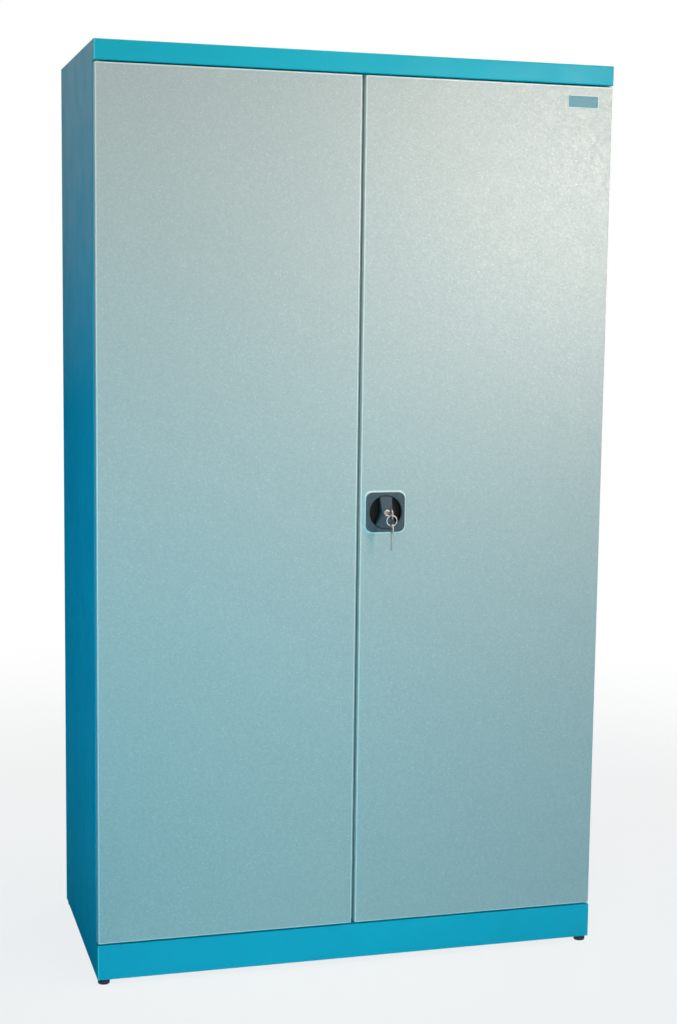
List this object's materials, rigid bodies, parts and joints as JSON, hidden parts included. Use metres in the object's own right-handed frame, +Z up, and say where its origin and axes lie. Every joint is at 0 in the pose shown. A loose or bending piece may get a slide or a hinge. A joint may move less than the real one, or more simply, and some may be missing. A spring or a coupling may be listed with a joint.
{
  "type": "tool cabinet",
  "caption": "Sheet-steel tool cabinet with hinged doors, fixed shelves, a rotary rack-and-pinion rod lock with key and ring, and levelling feet.",
  "frame": {"origin": "on the floor under the middle of the whole object's footprint, key and ring included", "axes": "+Z up, +X towards the right door as seen from the front, -Y out of the doors' faces"},
  "size_m": [1, 0.5519, 1.75],
  "materials": {
    "body_paint": "satin",
    "door_paint": "fine textured satin",
    "zinc": "zinc plated",
    "steel": "bright",
    "chrome": "polished",
    "black_plastic": "fine grain",
    "nylon": "plain",
    "rubber": "matt",
    "foot_rubber": "matt",
    "die_cast": "as cast"
  },
  "bodies": {
    "carcass": {"left_side_panel": "body_paint", "right_side_panel": "body_paint", "back_panel": "body_paint", "top_cover": "body_paint", "plinth_rail": "body_paint", "floor_panel": "body_paint", "left_base_rail": "zinc", "right_base_rail": "zinc", "front_left_upright": "zinc", "front_right_upright": "zinc", "rear_left_upright": "zinc", "rear_right_upright": "zinc", "shelf_1": "body_paint", "shelf_2": "body_paint", "shelf_3": "body_paint", "shelf_4": "body_paint", "left_shelf_rail_1": "zinc", "left_shelf_rail_2": "zinc", "left_shelf_rail_3": "zinc", "left_shelf_rail_4": "zinc", "right_shelf_rail_1": "zinc", "right_shelf_rail_2": "zinc", "right_shelf_rail_3": "zinc", "right_shelf_rail_4": "zinc", "foot_nut_front_left": "zinc", "foot_nut_front_right": "zinc", "foot_nut_rear_left": "zinc", "foot_nut_rear_right": "zinc", "hinge_pin_top_left": "steel", "hinge_pin_top_right": "steel", "hinge_pin_bottom_left": "steel", "hinge_pin_bottom_right": "steel", "door_bumper_left": "rubber", "door_bumper_right": "rubber"},
    "left_door": {"left_door_panel": "door_paint", "left_door_stiffener": "door_paint", "left_door_edge_strip": "door_paint", "hinge_bush_top_left": "nylon", "hinge_bush_bottom_left": "nylon"},
    "right_door": {"right_door_panel": "door_paint", "right_door_stiffener": "door_paint", "hinge_bush_top_right": "nylon", "hinge_bush_bottom_right": "nylon", "handle_escutcheon": "black_plastic", "lock_case": "die_cast", "upper_rod_guide": "zinc", "lower_rod_guide": "zinc"},
    "handle": {"turn_handle": "black_plastic", "lock_cylinder": "chrome", "drive_pinion": "die_cast"},
    "lock_core": {"lock_plug": "chrome", "cabinet_key": "steel"},
    "ring": {"key_ring": "steel"},
    "spare": {"spare_key": "steel"},
    "upper_rod": {"upper_locking_rod": "zinc"},
    "lower_rod": {"lower_locking_rod": "zinc"},
    "foot_front_left": {"levelling_foot_front_left": "foot_rubber"},
    "foot_front_right": {"levelling_foot_front_right": "foot_rubber"},
    "foot_rear_left": {"levelling_foot_rear_left": "foot_rubber"},
    "foot_rear_right": {"levelling_foot_rear_right": "foot_rubber"}
  },
  "joints": [
    {"name": "left_door_hinge", "type": "hinge", "parent": "carcass", "child": "left_door", "pos_m": [-0.4925, -0.2035, 0.895], "axis": [0, 0, -1], "range_deg": [0, 110]},
    {"name": "right_door_hinge", "type": "hinge", "parent": "carcass", "child": "right_door", "pos_m": [0.4925, -0.2035, 0.895], "axis": [0, 0, 1], "range_deg": [0, 110]},
    {"name": "handle_turn", "type": "hinge", "parent": "right_door", "child": "handle", "pos_m": [0.0525, -0.219, 0.893], "axis": [0, 1, 0], "range_deg": [0, 90]},
    {"name": "upper_rod_slide", "type": "slide", "parent": "right_door", "child": "upper_rod", "axis": [0, 0, 1], "range_m": [0, 0.01885]},
    {"name": "lower_rod_slide", "type": "slide", "parent": "right_door", "child": "lower_rod", "axis": [0, 0, -1], "range_m": [0, 0.01885]},
    {"name": "key_turn", "type": "hinge", "parent": "handle", "child": "lock_core", "pos_m": [0.0525, -0.219, 0.893], "axis": [0, 1, 0], "range_deg": [0, 90]},
    {"name": "ring_swing", "type": "hinge", "parent": "lock_core", "child": "ring", "pos_m": [0.0525, -0.266, 0.89145], "axis": [-1, 0, 0], "range_deg": [-20, 60]},
    {"name": "spare_key_swing", "type": "hinge", "parent": "ring", "child": "spare", "pos_m": [0.0525, -0.266, 0.87185], "axis": [-1, 0, 0], "range_deg": [-20, 40]},
    {"name": "foot_front_left_slide", "type": "slide", "parent": "carcass", "child": "foot_front_left", "axis": [0, 0, -1], "range_m": [0, 0.01]},
    {"name": "foot_front_right_slide", "type": "slide", "parent": "carcass", "child": "foot_front_right", "axis": [0, 0, -1], "range_m": [0, 0.01]},
    {"name": "foot_rear_left_slide", "type": "slide", "parent": "carcass", "child": "foot_rear_left", "axis": [0, 0, -1], "range_m": [0, 0.01]},
    {"name": "foot_rear_right_slide", "type": "slide", "parent": "carcass", "child": "foot_rear_right", "axis": [0, 0, -1], "range_m": [0, 0.01]}
  ],
  "couplings": [
    {"joint": "handle_turn", "follows": "upper_rod_slide", "rad_per_m": 83.333},
    {"joint": "lower_rod_slide", "follows": "upper_rod_slide", "ratio": 1}
  ]
}
